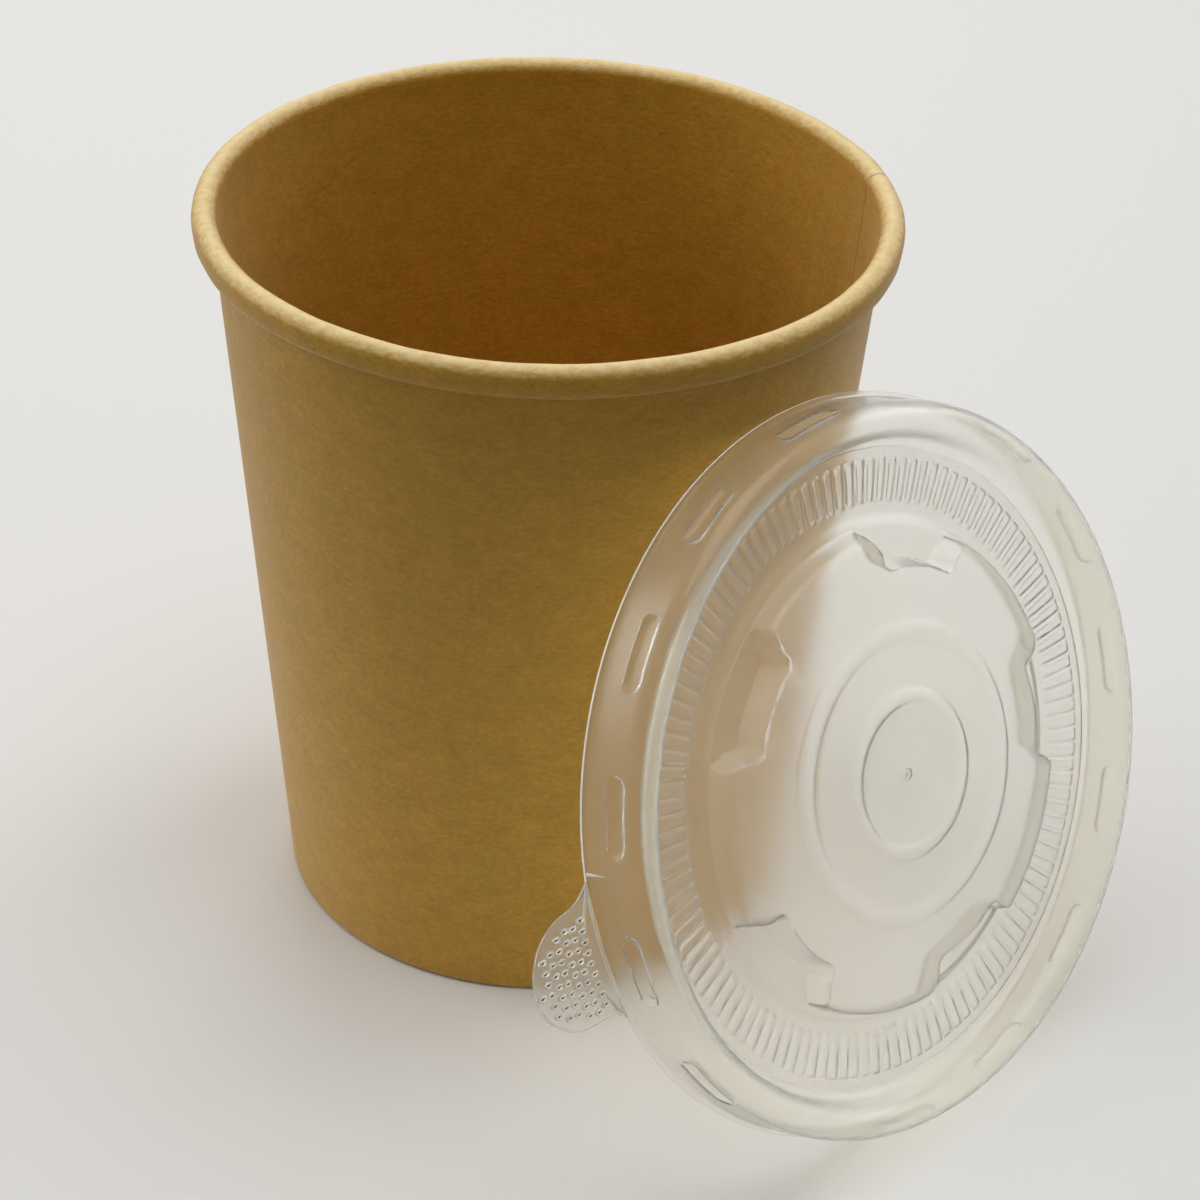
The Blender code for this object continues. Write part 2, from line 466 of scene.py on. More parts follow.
@dataclass(frozen=True)
class KraftFinish:
    """A face of kraft paper, bare or thinly coated."""

    name: str
    light: Colour
    dark: Colour
    olive: Colour
    fleck: Colour
    roughness: float
    bump: float
    gloss: float
    sheen: float
    # Lighter cream colour painted on the rim's crest: partly burnished paper, partly a painted highlight.
    crest: Colour | None = None
    crest_low: float = 129.2
    crest_high: float = 131.4

    def material(self, seam: SeamMark | None = None) -> bpy.types.Material:
        """Build the material.

        Args:
            seam: The lap seam drawn on this face, if any.

        Returns:
            The material.
        """
        made = bpy.data.materials.new(self.name)
        made.use_nodes = True
        wire = Wiring(made.node_tree)
        shader = made.node_tree.nodes["Principled BSDF"]
        paper = wire.node("ShaderNodeGroup")
        paper.node_tree = PaperFibres().group()
        wire.feed(paper.inputs["Light Pulp"], self.light)
        wire.feed(paper.inputs["Dark Pulp"], self.dark)
        wire.feed(paper.inputs["Olive Pulp"], self.olive)
        wire.feed(paper.inputs["Fleck"], self.fleck)
        colour = paper.outputs["Color"]
        # The rim's crest is painted lighter towards its top by height: partly the burnished paper of the roll, partly a
        # painted highlight.
        if self.crest is not None:
            split = wire.node("ShaderNodeSeparateXYZ")
            wire.feed(split.inputs[0], wire.node("ShaderNodeTexCoord").outputs["Object"])
            ragged = wire.math("MULTIPLY_ADD", paper.outputs["Fibre"], 0.0006, split.outputs["Z"])
            burnish_and_highlight = wire.ramp(ragged, self.crest_low * MM, self.crest_high * MM)
            colour = wire.mix(burnish_and_highlight, colour, self.crest)
        if seam is not None:
            colour = wire.mix(seam.shade(wire), colour, seam.colour)
        wire.feed(shader.inputs["Base Color"], colour)
        rough = wire.math("ADD", self.roughness - 0.06, wire.math("MULTIPLY", paper.outputs["Fibre"], 0.12))
        wire.feed(shader.inputs["Roughness"], rough)
        shader.inputs["Specular IOR Level"].default_value = self.gloss
        shader.inputs["Sheen Weight"].default_value = self.sheen
        shader.inputs["Sheen Roughness"].default_value = 0.45
        shader.inputs["Sheen Tint"].default_value = (1.0, 0.93, 0.78, 1.0)
        bump = wire.node("ShaderNodeBump")
        bump.inputs["Strength"].default_value = self.bump
        bump.inputs["Distance"].default_value = 0.00008
        wire.feed(bump.inputs["Height"], paper.outputs["Height"])
        wire.feed(shader.inputs["Normal"], bump.outputs["Normal"])
        return made


@dataclass(frozen=True)
class SeamMark:
    """The thin shade along the cut edge of the wall's lap seam."""

    axis: tuple[float, float]
    angle: float
    width: float
    colour: Colour
    strength: float

    def shade(self, wire: Wiring) -> bpy.types.NodeSocket:
        """Wire the mask of the seam's edge.

        Args:
            wire: The material's wiring.

        Returns:
            A value socket, 1 on the edge and 0 away from it.
        """
        place = wire.node("ShaderNodeTexCoord").outputs["Object"]
        split = wire.node("ShaderNodeSeparateXYZ")
        wire.feed(split.inputs[0], place)
        across = wire.math("SUBTRACT", split.outputs["X"], self.axis[0] * MM)
        along = wire.math("SUBTRACT", split.outputs["Y"], self.axis[1] * MM)
        turn = math.radians(self.angle)
        out = wire.math(
            "ADD", wire.math("MULTIPLY", across, math.cos(turn)), wire.math("MULTIPLY", along, math.sin(turn))
        )
        side = wire.math(
            "SUBTRACT", wire.math("MULTIPLY", along, math.cos(turn)), wire.math("MULTIPLY", across, math.sin(turn))
        )
        near = wire.ramp(wire.math("ABSOLUTE", side), self.width * MM, self.width * MM * 0.25)
        front = wire.math("GREATER_THAN", out, 0.0)
        return wire.math("MULTIPLY", wire.math("MULTIPLY", near, front), self.strength)


@dataclass(frozen=True)
class MilkyPlastic:
    """Thin translucent polypropylene, cloudy, with a satin skin."""

    name: str = "milky_plastic"
    colour: Colour = (0.99, 0.988, 0.935)
    cloud: Colour = (0.98, 0.976, 0.915)
    roughness: float = 0.22
    transmission: float = 0.85
    ior: float = 1.25
    scatter: float = 1.0
    lets_through: float = 0.75

    def material(self) -> bpy.types.Material:
        """Build the material."""
        made = bpy.data.materials.new(self.name)
        made.use_nodes = True
        wire = Wiring(made.node_tree)
        shader = made.node_tree.nodes["Principled BSDF"]
        place = wire.node("ShaderNodeTexCoord").outputs["Object"]
        drift = wire.ramp(wire.noise(place, 45.0, 3.0, 0.55), 0.3, 0.7)
        wire.feed(shader.inputs["Base Color"], wire.mix(drift, self.colour, self.cloud))
        haze = wire.noise(place, 900.0, 3.0, 0.6)
        rough = wire.math("ADD", self.roughness - 0.04, wire.math("MULTIPLY", haze, 0.08))
        wire.feed(shader.inputs["Roughness"], rough)
        shader.inputs["Transmission Weight"].default_value = self.transmission
        shader.inputs["IOR"].default_value = self.ior
        path = wire.node("ShaderNodeLightPath")
        shade = wire.math("MULTIPLY_ADD", path.outputs["Is Shadow Ray"], -self.lets_through, 1.0)
        wire.feed(shader.inputs["Alpha"], shade)
        shader.inputs["Subsurface Weight"].default_value = self.scatter
        shader.inputs["Subsurface Radius"].default_value = (1.0, 0.97, 0.9)
        shader.inputs["Subsurface Scale"].default_value = 0.003
        bump = wire.node("ShaderNodeBump")
        bump.inputs["Strength"].default_value = 0.12
        bump.inputs["Distance"].default_value = 0.00005
        wire.feed(bump.inputs["Height"], wire.noise(place, 380.0, 2.0, 0.5))
        wire.feed(shader.inputs["Normal"], bump.outputs["Normal"])
        return made


@dataclass(frozen=True)
class StageFinish:
    """A pale matt sheet under and behind the object, darker to bounced light away from the cup."""

    name: str
    colour: Colour
    bounce_near: float = 0.12
    bounce_far: float = 0.26
    card: Colour = (0.10, 0.098, 0.095)

    def material(self) -> bpy.types.Material:
        """Build the material."""
        made = bpy.data.materials.new(self.name)
        made.use_nodes = True
        wire = Wiring(made.node_tree)
        shader = made.node_tree.nodes["Principled BSDF"]
        place = wire.node("ShaderNodeTexCoord").outputs["Object"]
        cloud = wire.noise(place, 3.0, 2.0)
        low = tuple(channel * 0.985 for channel in self.colour)
        colour = wire.mix(cloud, low, self.colour)
        reach = wire.node("ShaderNodeVectorMath", operation="LENGTH")
        wire.feed(reach.inputs[0], place)
        far = wire.ramp(reach.outputs["Value"], self.bounce_near, self.bounce_far)
        path = wire.node("ShaderNodeLightPath")
        card = wire.math("MULTIPLY", far, path.outputs["Is Diffuse Ray"])
        wire.feed(shader.inputs["Base Color"], wire.mix(card, colour, self.card))
        shader.inputs["Roughness"].default_value = 0.55
        return made


# --------------------------------------------------------------------------------------------------------------
# The cup
# --------------------------------------------------------------------------------------------------------------


@dataclass
class PaperCup:
    """Wall, rolled rim, folded hem and recessed base of the cup, in millimetres about its axis."""

    axis: tuple[float, float]
    height: float = 130.7
    base_radius: float = 44.8
    top_radius: float = 55.05
    paper: float = 0.6
    rim_radius: float = 58.5
    rim_height: float = 5.5
    hem_height: float = 7.6
    hem_paper: float = 0.5
    groove: float = 1.75
    base_level: float = 8.6
    base_paper: float = 0.6
    skirt_paper: float = 0.45
    clearance: float = 0.35
    lap_angle: float = 20.5
    lap_width: float = 7.5
    lap_step: float = 0.3
    segments: int = 384
    pieces: list[bpy.types.Object] = field(default_factory=list)

    def wall_radius(self, height: float) -> float:
        """Outer radius of the wall at a height."""
        top = self.height - self.rim_height
        return self.base_radius + (self.top_radius - self.base_radius) * height / top

    def rim_rings(self) -> list[Ring]:
        """Rings of the rolled rim, from its inner side over the crest to the lower lip."""
        inner = self.top_radius - self.paper
        half = (self.rim_radius - inner) / 2.0
        centre = inner + half
        crest = self.height - half
        rings = []
        for step in range(15):
            turn = math.pi * (1.0 - step / 14.0)
            rings.append((centre + half * math.cos(turn), crest + half * math.sin(turn)))
        lip = self.height - self.rim_height
        rings.append((self.rim_radius - 0.02, lip + 2.4))
        rings.append((self.rim_radius - 0.15, lip + 1.3))
        rings.append((self.rim_radius - 0.5, lip + 0.55))
        rings.append((self.rim_radius - 0.95, lip + 0.22))
        rings.append((self.rim_radius - 1.5, lip + 0.1))
        rings.append((self.rim_radius - 2.1, lip + 0.18))
        rings.append((self.rim_radius - 2.6, lip + 0.5))
        return rings

    def wall_rings(self) -> list[Ring]:
        """Rings of the whole wall, down the outside, round the hem and up the inside."""
        lip = self.height - self.rim_height
        rings = self.rim_rings()
        rings.append((self.wall_radius(lip) + 0.08, lip + 0.55))
        rings.append((self.wall_radius(lip - 0.8), lip - 0.8))
        for step in range(1, 15):
            level = (lip - 2.0) * (1.0 - step / 15.0)
            rings.append((self.wall_radius(level), level))
        base = self.wall_radius(0.0)
        inner = base - self.paper - self.groove + self.paper
        rings.append((self.wall_radius(1.0), 1.0))
        rings.append((base - 0.03, 0.25))
        rings.append((base - 0.25, 0.0))
        rings.append((inner - self.hem_paper + 0.2, 0.0))
        rings.append((inner - self.hem_paper, 0.25))
        hem = self.wall_radius(self.hem_height)
        drop = hem - self.groove
        rings.append((drop - self.hem_paper, self.hem_height - 0.15))
        rings.append((drop - self.hem_paper / 2.0, self.hem_height))
        rings.append((drop, self.hem_height - 0.15))
        rings.append((inner + 0.05, 0.6))
        rings.append((base - self.paper + 0.05, 0.6))
        for step in range(1, 14):
            level = (lip - 1.0) * step / 14.0
            rings.append((self.wall_radius(level) - self.paper, level))
        rings.append((self.top_radius - self.paper, lip + 1.2))
        rings.append((self.top_radius - self.paper, lip + 2.2))
        return rings

    def press_lap(self, places: np.ndarray) -> np.ndarray:
        """Raise the lap seam on the wall and give the rim the slight unevenness of rolled paper.

        Args:
            places: Vertex places in millimetres.

        Returns:
            The new places.
        """
        radius = np.hypot(places[:, 0], places[:, 1])
        angle = np.degrees(np.arctan2(places[:, 1], places[:, 0]))
        height = places[:, 2]
        arc = np.radians(turn_between(angle, self.lap_angle)) * radius
        top = self.height - self.rim_height
        wall = self.base_radius + (self.top_radius - self.base_radius) * np.clip(height, 0.0, top) / top
        outer = (radius > wall - self.paper * 0.5) & (height > 0.5)
        inner = (radius < wall - self.paper * 0.5) & (radius > wall - self.paper * 1.5) & (height > 9.5)
        lap_out = soft_step(arc, -self.lap_width, -self.lap_width + 0.9) * soft_step(arc, 3.0, -1.0)
        lap_in = soft_step(arc, self.lap_width, self.lap_width - 0.9) * soft_step(arc, -0.6, 0.3)
        below_rim = height < top - 0.4
        push = np.where(outer & below_rim, lap_out * self.lap_step, 0.0)
        push = push - np.where(inner & (height < top + 1.0), lap_in * self.lap_step * 0.8, 0.0)
        rim = height > top - 0.4
        turn = np.radians(angle)
        wave = 0.07 * np.sin(turn * 7.0 + 0.6) + 0.05 * np.sin(turn * 17.0 + 2.0) + 0.03 * np.sin(turn * 41.0)
        swell = np.exp(-((arc + 2.0) / 4.0) ** 2) * 0.12
        push = push + np.where(rim, (wave - 0.12) * 0.6 + swell * 0.5, 0.0)
        keep = (radius + push) / radius
        moved = places.copy()
        moved[:, 0] *= keep
        moved[:, 1] *= keep
        crest = soft_step(height, self.height - 2.5, self.height)
        moved[:, 2] += crest * (0.06 * np.sin(turn * 5.0 + 1.0) + 0.03 * np.sin(turn * 23.0) - 0.09)
        return moved

    def build_wall(self) -> bpy.types.Object:
        """Model the wall with its rim and hem, and mark its inner faces for the coated paper."""
        wall = turn_rings("cup_wall_paper", self.wall_rings(), self.segments, Fill.LOOP)
        move_vertices(wall, self.press_lap)
        mesh = wall.data
        for face in mesh.polygons:
            centre = face.center / MM
            radius = math.hypot(centre.x, centre.y)
            top = self.height - self.rim_height
            wall_radius = self.wall_radius(min(centre.z, top))
            inside = radius < wall_radius - self.paper * 0.6 and 9.0 < centre.z < self.height - 1.6
            inside = inside or (radius < self.top_radius + 0.2 and self.height - 1.7 < centre.z < self.height - 0.6)
            face.material_index = Side.INSIDE.value if inside else Side.OUTSIDE.value
        return wall

    def build_base(self) -> bpy.types.Object:
        """Model the recessed base disc with its turned-down skirt."""
        top = self.base_level + self.base_paper
        wide = self.wall_radius(top) - self.paper - self.clearance
        low = self.wall_radius(1.0) - self.paper - self.clearance
        rings = [
            (0.6, self.base_level),
            (20.0, self.base_level),
            (wide - self.skirt_paper - 0.7, self.base_level),
            (wide - self.skirt_paper - 0.15, self.base_level - 0.5),
            (low - self.skirt_paper + 0.02, 1.15),
            (low - self.skirt_paper / 2.0, 1.0),
            (low, 1.15),
            (wide - 0.02, top - 0.9),
            (wide - 0.2, top - 0.3),
            (wide - 0.7, top - 0.02),
            (wide - 2.0, top),
            (20.0, top),
            (0.6, top),
        ]
        base = turn_rings("cup_base_paper", rings, 192, Fill.OPEN)
        bpy.ops.object.mode_set(mode="EDIT")
        bpy.ops.mesh.select_mode(type="EDGE")
        bpy.ops.mesh.select_all(action="DESELECT")
        bpy.ops.mesh.select_non_manifold()
        bpy.ops.mesh.fill_holes(sides=0)
        bpy.ops.mesh.select_all(action="SELECT")
        bpy.ops.mesh.normals_make_consistent(inside=False)
        bpy.ops.object.mode_set(mode="OBJECT")
        return base

    def build(self) -> None:
        """Model both pieces and set them on the cup's axis."""
        placing = Matrix.Translation(Vector((self.axis[0], self.axis[1], 0.0)) * MM)
        self.pieces = [self.build_wall(), self.build_base()]
        for piece in self.pieces:
            piece.data.transform(placing)
            smooth(piece, 50.0)

    def dress(self) -> None:
        """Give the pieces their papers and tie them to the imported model."""
        outside = KraftFinish(
            "kraft_outside",
            light=(0.60, 0.325, 0.036),
            dark=(0.46, 0.24, 0.02),
            olive=(0.48, 0.29, 0.025),
            fleck=(0.12, 0.06, 0.01),
            roughness=0.5,
            bump=0.5,
            gloss=0.3,
            sheen=0.25,
            # Crest colour: burnished paper and a painted highlight on the rim's top.
            crest=(0.92, 0.72, 0.36),
        )
        inside = KraftFinish(
            "kraft_inside",
            light=(0.93, 0.44, 0.001),
            dark=(0.74, 0.33, 0.0),
            olive=(0.78, 0.41, 0.0),
            fleck=(0.15, 0.06, 0.0),
            roughness=0.6,
            bump=0.35,
            gloss=0.0,
            sheen=0.0,
        )
        lap_out = self.lap_angle - math.degrees(self.lap_width / self.top_radius)
        outer_seam = SeamMark(self.axis, lap_out, 0.35, (0.16, 0.09, 0.03), 0.55)
        inner_seam = SeamMark(self.axis, self.lap_angle, 0.3, (0.13, 0.06, 0.004), 0.5)
        wall, base = self.pieces
        wall.data.materials.clear()
        wall.data.materials.append(outside.material(outer_seam))
        wall.data.materials.append(inside.material(inner_seam))
        base.data.materials.clear()
        base.data.materials.append(bpy.data.materials["kraft_inside"])
        for piece, node, slot in ((wall, "cup_wall", "kraft_paper"), (base, "cup_base", "coated_kraft_paper")):
            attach(piece, "root")
            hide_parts(node)


# --------------------------------------------------------------------------------------------------------------
# The lid
# --------------------------------------------------------------------------------------------------------------


@dataclass
class SnapLid:
    """Moulded snap lid, in millimetres: Z is its axis and the underside of its flange is Z = 0."""

    centre: tuple[float, float, float]
    yaw: float = -44.37
    lean: float = 20.16
    wall: float = 0.42
    flange_radius: float = 60.78
    crown_height: float = 12.0
    joint_radius: float = 52.2
    notch_floor: float = 5.9
    notch_inner: float = 33.85
    notch_outer: float = 39.6
    notch_count: int = 5
    notch_angle: float = 138.75
    notch_half: float = 13.4
    notch_flare: float = 3.4
    notch_round: float = 2.2
    lug_count: int = 15
    lug_half: float = 5.4
    lug_depth: float = 0.8
    flute_count: int = 120
    flute_inner: float = 43.3
    flute_outer: float = 50.4
    flute_height: float = 0.36
    flute_gap: float = 0.55
    tab_angle: float = 184.0
    tab_reach: float = 75.0
    tab_half: float = 9.6
    tab_root: float = 12.0
    slit_angle: float = 171.6
    segments: int = 480
    panel_segments: int = 360
    pieces: list[bpy.types.Object] = field(default_factory=list)

    def rim_rings(self) -> list[Ring]:
        """Outer face of the rim, from the flange's edge up the skirt and over the crown to the floor."""
        return [
            (self.flange_radius, 0.5),
            (self.flange_radius - 0.35, 0.5),
            (60.2, 0.6),
            (60.08, 1.0),
            (60.04, 2.2),
            (60.0, 3.4),
            (59.96, 4.4),
            (59.93, 5.2),
            (59.9, 6.0),
            (59.86, 6.8),
            (59.82, 7.6),
            (59.78, 8.4),
            (59.7, 9.0),
            (59.55, 9.7),
            (59.25, 10.4),
            (58.8, 11.05),
            (58.2, 11.55),
            (57.5, 11.88),
            (56.8, self.crown_height),
            (56.1, 11.85),
            (55.5, 11.5),
            (54.95, 10.95),
            (54.5, 10.3),
            (54.1, 9.5),
            (53.85, 8.6),
            (53.65, 7.4),
            (53.45, 6.4),
            (53.15, 5.8),
            (52.7, 5.5),
            (self.joint_radius + 0.015, 5.4),
        ]

    def panel_rings(self) -> list[Ring]:
        """Outer face of the floor and the raised panel, from the rim in to the moulding gate."""
        return [
            (self.joint_radius - 0.015, 5.4),
            (51.6, 5.34),
            (50.9, 5.28),
            (50.0, 5.22),
            (47.0, 4.99),
            (44.0, 4.75),
            (42.9, 4.67),
            (42.2, 4.66),
            (41.7, 4.74),
            (41.25, 4.95),
            (40.85, 5.3),
            (40.5, 5.56),
            (40.05, 5.72),
            (39.8, 5.86),
            (39.66, 6.3),
            (39.52, 7.4),
            (39.4, 8.3),
            (39.2, 9.0),
            (38.85, 9.55),
            (38.3, 10.0),
            (37.4, 10.36),
            (36.3, 10.54),
            (35.2, 10.68),
            (34.5, 10.76),
            (33.8, 10.82),
            (33.2, 10.88),
            (32.5, 10.94),
            (29.0, 11.22),
            (25.9, 11.45),
            (25.1, 11.6),
            (24.6, 11.95),
            (24.1, 12.16),
            (23.3, 12.26),
            (22.5, 12.16),
            (22.05, 11.95),
            (21.6, 11.72),
            (20.6, 11.74),
            (15.4, 12.04),
            (14.4, 12.14),
            (14.0, 12.42),
            (13.5, 12.8),
            (12.7, 12.92),
            (11.9, 12.8),
            (11.45, 12.42),
            (11.1, 12.14),
            (6.0, 11.7),
            (1.5, 11.45),
            (1.2, 11.62),
            (0.95, 11.66),
            (0.75, 11.5),
            (0.55, 11.52),
            (0.4, 11.8),
            (0.2, 11.92),
        ]

    def press_notches(self, places: np.ndarray) -> np.ndarray:
        """Press the stacking notches into the panel's shoulder, with rounded and flared corners.

        Args:
            places: Vertex places in millimetres.

        Returns:
            The new places.
        """
        radius = np.hypot(places[:, 0], places[:, 1])
        angle = np.degrees(np.arctan2(places[:, 1], places[:, 0]))
        pitch = 360.0 / self.notch_count
        off = np.abs((angle - self.notch_angle + pitch / 2.0) % pitch - pitch / 2.0)
        half = self.notch_half + self.notch_flare * soft_step(radius, 35.6, 39.7)
        side = np.radians(half - off) * radius * 0.93
        back = radius - self.notch_inner + 0.5 * (off / self.notch_half) ** 2 - 0.25
        blend = np.clip(0.5 + 0.5 * (back - side) / self.notch_round, 0.0, 1.0)
        inward = back + (side - back) * blend - self.notch_round * blend * (1.0 - blend)
        depth = soft_step(inward, -0.6, 0.5)
        depth = np.where((radius < self.notch_outer + 0.1) & (places[:, 2] > self.notch_floor), depth, 0.0)
        moved = places.copy()
        floor = self.notch_floor + 0.03 * (self.notch_outer - radius)
        moved[:, 2] += (floor - places[:, 2]) * depth
        return moved

    def press_flutes(self, places: np.ndarray) -> np.ndarray:
        """Raise the ring of flutes on the floor.

        Args:
            places: Vertex places in millimetres.

        Returns:
            The new places.
        """
        radius = np.hypot(places[:, 0], places[:, 1])
        angle = np.degrees(np.arctan2(places[:, 1], places[:, 0]))
        pitch = 360.0 / self.flute_count
        off = np.abs((angle - self.notch_angle + pitch / 2.0) % pitch - pitch / 2.0)
        across = np.radians(off) * radius
        half = np.radians(pitch / 2.0) * radius - self.flute_gap / 2.0
        along = np.abs(radius - (self.flute_inner + self.flute_outer) / 2.0)
        reach = (self.flute_outer - self.flute_inner) / 2.0
        corner = 0.45
        out_x = np.maximum(across - half + corner, 0.0)
        out_y = np.maximum(along - reach + corner, 0.0)
        past = np.hypot(out_x, out_y) - corner
        moved = places.copy()
        moved[:, 2] += self.flute_height * soft_step(past, 0.14, -0.16)
        return moved

    def press_lugs(self, places: np.ndarray) -> np.ndarray:
        """Press the snap lugs into the skirt as short slots with round ends.

        Args:
            places: Vertex places in millimetres.

        Returns:
            The new places.
        """
        radius = np.hypot(places[:, 0], places[:, 1])
        angle = np.degrees(np.arctan2(places[:, 1], places[:, 0]))
        pitch = 360.0 / self.lug_count
        off = np.abs((angle - self.notch_angle + pitch / 2.0) % pitch - pitch / 2.0)
        along = np.maximum(np.radians(off - self.lug_half) * radius + 1.1, 0.0)
        past = np.hypot(along, places[:, 2] - 6.4) - 1.35
        push = np.where(radius > 59.0, -self.lug_depth * soft_step(past, 0.32, -0.32), 0.0)
        keep = (radius + push) / radius
        moved = places.copy()
        moved[:, 0] *= keep
        moved[:, 1] *= keep
        return moved

    def give_wall(self, shell: bpy.types.Object) -> None:
        """Give a face of the shell its wall, on the inside.

        Args:
            shell: The open outer face.
        """
        make_active(shell)
        upward = sum(face.normal.z * face.area for face in shell.data.polygons)
        if upward < 0.0:
            shell.data.flip_normals()
        thick = shell.modifiers.new("wall", "SOLIDIFY")
        thick.thickness = self.wall * MM
        thick.offset = -1.0
        thick.use_quality_normals = True
        apply_modifiers(shell)

    def build_rim(self) -> bpy.types.Object:
        """Model the flange, skirt and crown."""
        rim = turn_rings("lid_rim", self.rim_rings(), self.segments, Fill.OPEN)
        bpy.ops.object.mode_set(mode="EDIT")
        pick(rim, Part.FACE, lambda face: 4.4 < face.calc_center_median().z / MM < 8.4 and face.normal.z < 0.3 and
             math.hypot(face.calc_center_median().x, face.calc_center_median().y) > 59.0 * MM)
        bpy.ops.mesh.subdivide(number_cuts=1)
        bpy.ops.object.mode_set(mode="OBJECT")
        move_vertices(rim, self.press_lugs)
        self.give_wall(rim)
        return rim

    def build_panel(self) -> bpy.types.Object:
        """Model the fluted floor, the notched panel with its ribs and the gate in its middle."""
        panel = turn_rings("lid_panel", self.panel_rings(), self.panel_segments, Fill.POLE)
        bpy.ops.object.mode_set(mode="EDIT")

        def within(low: float, high: float) -> Callable[[bmesh.types.BMFace], bool]:
            """Return a test for faces whose middle lies between two radii in millimetres."""

            def test(face: bmesh.types.BMFace) -> bool:
                """Return True if the face's middle lies between the radii."""
                middle = face.calc_center_median() / MM
                return low < math.hypot(middle.x, middle.y) < high

            return test

        pick(panel, Part.FACE, within(42.9, 50.9))
        bpy.ops.mesh.subdivide(number_cuts=2)
        pick(panel, Part.FACE, within(33.2, 39.3))
        bpy.ops.mesh.subdivide(number_cuts=1)
        bpy.ops.object.mode_set(mode="OBJECT")
        move_vertices(panel, self.press_flutes)
        move_vertices(panel, self.press_notches)
        self.give_wall(panel)
        return panel

    def tab_outline(self, turn: float) -> tuple[float, float]:
        """Place of a point on the tab's edge.

        Args:
            turn: Direction of the point on the starting circle, in degrees from -180 to 180; 0 is the tip.

        Returns:
            Distance out from the lid's axis and distance to the side, in millimetres.
        """
        side = 1.0 if turn >= 0.0 else -1.0
        around = abs(turn)
        centre = self.tab_reach - self.tab_half
        edge = self.flange_radius + 0.03
        if around <= 100.0:
            tip = math.radians(around * 0.9)
            return centre + self.tab_half * math.cos(tip), side * self.tab_half * math.sin(tip)
        root = math.sqrt(edge ** 2 - self.tab_root ** 2)
        if around <= 140.0:
            share = (around - 100.0) / 40.0
            rest = 1.0 - share
            weights = (rest ** 3, 3.0 * rest ** 2 * share, 3.0 * rest * share ** 2, share ** 3)
            outs = (centre, centre - 2.6, edge + 0.3, root)
            sides = (self.tab_half, self.tab_half, self.tab_half + 0.9, self.tab_root)
            return sum(w * o for w, o in zip(weights, outs)), side * sum(w * o for w, o in zip(weights, sides))
        share = (180.0 - around) / 40.0
        return root + 0.5 * (1.0 - share ** 2), side * self.tab_root * share

    def build_tab(self) -> bpy.types.Object:
        """Model the pull tab as a rounded leaf with a raised edge."""
        clear_selection()
        bpy.ops.mesh.primitive_circle_add(vertices=108, radius=self.tab_half * MM, fill_type="TRIFAN")
        tab = bpy.context.object
        tab.name = "lid_tab"
        for vert in tab.data.vertices:
            turn = math.degrees(math.atan2(vert.co.y, vert.co.x))
            middle = vert.co.length < 0.1 * MM
            out, across = (64.6, 0.0) if middle else self.tab_outline(turn)
            vert.co = (out * MM, across * MM, 0.0)
        bpy.ops.object.mode_set(mode="EDIT")
        bpy.ops.mesh.select_all(action="SELECT")
        bpy.ops.mesh.inset(thickness=0.3 * MM, depth=0.0)
        bpy.ops.mesh.inset(thickness=0.14 * MM, depth=-0.14 * MM)
        bpy.ops.object.mode_set(mode="OBJECT")
        thick = tab.modifiers.new("wall", "SOLIDIFY")
        thick.thickness = 0.3 * MM
        thick.offset = -1.0
        apply_modifiers(tab)
        lift = Matrix.Translation((0.0, 0.0, 0.47 * MM))
        tab.data.transform(Matrix.Rotation(math.radians(self.tab_angle), 4, "Z") @ lift)
        return tab

    def build_grips(self) -> bpy.types.Object:
        """Model one grip of the tab, a small hollowed D, and copy it in rows."""
        clear_selection()
        bpy.ops.mesh.primitive_cylinder_add(vertices=12, radius=0.78 * MM, depth=0.3 * MM)
        grip = bpy.context.object
        bpy.ops.object.mode_set(mode="EDIT")
        pick(grip, Part.VERTEX, lambda vert: vert.co.y < -0.3 * MM)
        bpy.ops.transform.resize(value=(1.0, 0.45, 1.0), center_override=(0.0, 0.0, 0.0))
        pick(grip, Part.FACE, lambda face: face.normal.z > 0.9)
        bpy.ops.mesh.inset(thickness=0.16 * MM, depth=0.12 * MM)
        bpy.ops.mesh.inset(thickness=0.14 * MM, depth=-0.02 * MM)
        bpy.ops.mesh.inset(thickness=0.12 * MM, depth=-0.16 * MM)
        bpy.ops.object.mode_set(mode="OBJECT")
        placings = []
        for column in range(7):
            reach = self.flange_radius + 2.6 + 1.75 * column
            past = reach - (self.tab_reach - self.tab_half)
            limit = self.tab_half - 1.15
            room = math.sqrt(max(limit ** 2 - past ** 2, 0.0)) if past > 0.0 else limit
            for row in range(-6, 7):
                across = (row + 0.25 * (column % 2)) * 1.85
                if abs(across) <= room:
                    turn = Matrix.Rotation(math.radians(self.tab_angle) + across / reach, 4, "Z")
                    placings.append(turn @ Matrix.Translation(Vector((reach, 0.0, 0.34 + 0.16)) * MM))
        return join_copies("lid_tab_grips", grip, placings)

    def build_tear(self) -> bpy.types.Object:
        """Model the stretched white edge of the cut that starts the tear beside the tab."""
        clear_selection()
        bpy.ops.mesh.primitive_cone_add(vertices=8, radius1=0.3 * MM, radius2=0.03 * MM, depth=3.6 * MM)
        tear = bpy.context.object
        tear.name = "lid_tear_edge"
        bpy.ops.object.mode_set(mode="EDIT")
        bpy.ops.mesh.select_all(action="SELECT")
        bpy.ops.mesh.subdivide(number_cuts=3)
        bpy.ops.transform.resize(value=(0.45, 1.0, 1.0), center_override=(0.0, 0.0, 0.0))
        bpy.ops.object.mode_set(mode="OBJECT")
        tear.data.transform(
            Matrix.Rotation(math.radians(self.slit_angle), 4, "Z") @ Matrix.Translation(Vector((60.33, 0.0, 2.3)) * MM)
            @ Matrix.Rotation(math.radians(-7.0), 4, "Y")
        )
        return tear

